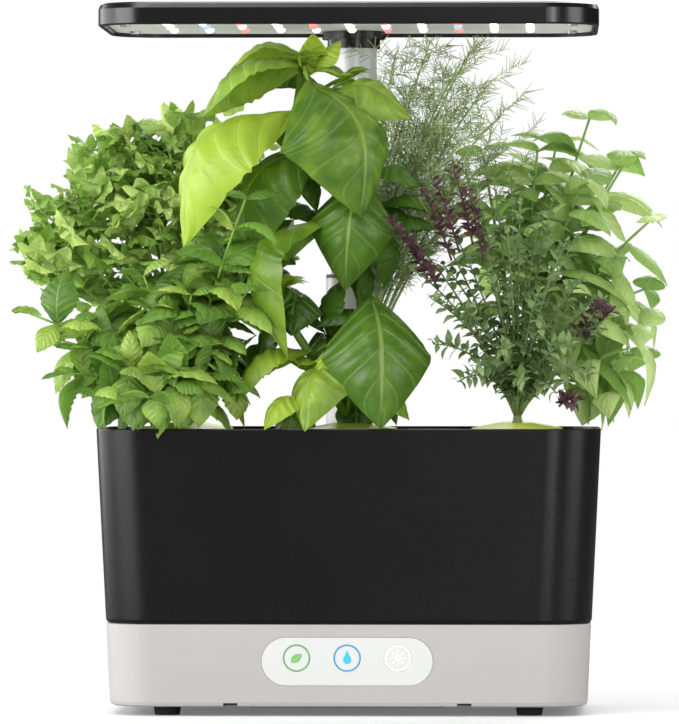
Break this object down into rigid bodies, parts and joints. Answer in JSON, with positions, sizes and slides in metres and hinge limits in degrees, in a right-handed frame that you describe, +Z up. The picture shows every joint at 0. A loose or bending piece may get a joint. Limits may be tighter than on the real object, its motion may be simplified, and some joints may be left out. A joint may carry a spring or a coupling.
{
  "type": "countertop hydroponic garden",
  "caption": "Countertop hydroponic garden: drawn-off water bowl with planted pods on a base with push buttons, under a lamp hood on a telescoping post.",
  "frame": {"origin": "on the table plane under the middle of the base", "axes": "+X to the viewer's right, +Y to the rear, +Z up"},
  "size_m": [0.3391, 0.1813, 0.376],
  "materials": {
    "stone_plastic": "fine matte, warm stone grey",
    "black_plastic": "satin black with a fine grain",
    "dark_plastic": "plain dark",
    "white_plastic": "smooth white",
    "panel": "smooth pale grey overlay",
    "rubber": "matt black",
    "steel": "plain",
    "post_metal": "satin pale grey",
    "board": "solder mask",
    "board_metal": "plain",
    "clear": "clear dome",
    "red_clear": "red dome",
    "blue_clear": "blue dome",
    "sponge": "open foam",
    "label_film": "thin printed film",
    "mint_leaf": "soft leaf",
    "basil_leaf": "soft leaf",
    "thyme_leaf": "soft leaf",
    "parsley_leaf": "soft leaf",
    "dill_leaf": "soft thread",
    "thai_leaf": "soft leaf"
  },
  "bodies": {
    "base": {"base_shell": "stone_plastic", "bottom_plate": "dark_plastic", "feet": "rubber", "bottom_screws": "steel", "control_overlay": "panel", "water_lens": "panel", "control_board": "board", "switches": "dark_plastic", "indicator_leds": "clear", "power_board": "board", "dc_inlet": "dark_plastic", "level_sensor": "dark_plastic", "pump_contacts": "dark_plastic", "post_sleeve": "post_metal", "sleeve_bush": "dark_plastic"},
    "feed_key": {"feed_button": "panel"},
    "light_key": {"light_button": "panel"},
    "lamp": {"lamp_post": "post_metal", "post_collar": "black_plastic", "hood_shell": "black_plastic", "light_panel": "white_plastic", "led_board": "board_metal", "white_leds": "clear", "red_leds": "red_clear", "blue_leds": "blue_clear", "hood_screws": "steel"},
    "tank": {"bowl": "black_plastic", "grow_deck": "black_plastic", "basket_1": "dark_plastic", "basket_2": "dark_plastic", "basket_3": "dark_plastic", "basket_4": "dark_plastic", "basket_5": "dark_plastic", "basket_6": "dark_plastic", "label_1": "label_film", "label_2": "label_film", "label_3": "label_film", "label_4": "label_film", "label_5": "label_film", "label_6": "label_film", "grow_sponges": "sponge", "pump_housing": "dark_plastic", "pump_cover": "dark_plastic", "pump_filter": "sponge", "impeller_shaft": "steel", "contact_plates": "steel", "float_guide": "dark_plastic", "flap_pin": "steel", "mint": "mint_leaf", "basil": "basil_leaf", "thyme": "thyme_leaf", "parsley": "parsley_leaf", "dill": "dill_leaf", "thai_basil": "thai_leaf"},
    "rotor": {"impeller": "white_plastic"},
    "float": {"level_float": "white_plastic"},
    "flap": {"fill_flap": "black_plastic"}
  },
  "joints": [
    {"name": "lamp_raise", "type": "slide", "parent": "base", "child": "lamp", "axis": [0, 0, 1], "range_m": [0, 0.066]},
    {"name": "bowl_draw", "type": "slide", "parent": "base", "child": "tank", "axis": [0, -1, 0], "range_m": [0, 0.16]},
    {"name": "feed_press", "type": "slide", "parent": "base", "child": "feed_key", "axis": [0, 1, 0], "range_m": [0, 0.0008], "stiffness_N_per_m": 900, "springref_m": -0.0005},
    {"name": "light_press", "type": "slide", "parent": "base", "child": "light_key", "axis": [0, 1, 0], "range_m": [0, 0.0008], "stiffness_N_per_m": 900, "springref_m": -0.0005},
    {"name": "flap_open", "type": "hinge", "parent": "tank", "child": "flap", "pos_m": [0.0445, -0.0395, 0.14895], "axis": [-1, 0, 0], "range_deg": [0, 100]},
    {"name": "float_rise", "type": "slide", "parent": "tank", "child": "float", "axis": [0, 0, 1], "range_m": [0, 0.05]},
    {"name": "rotor_spin", "type": "hinge", "parent": "tank", "child": "rotor", "pos_m": [-0.045, 0.047, 0.07], "axis": [0, 0, 1], "continuous": true}
  ]
}
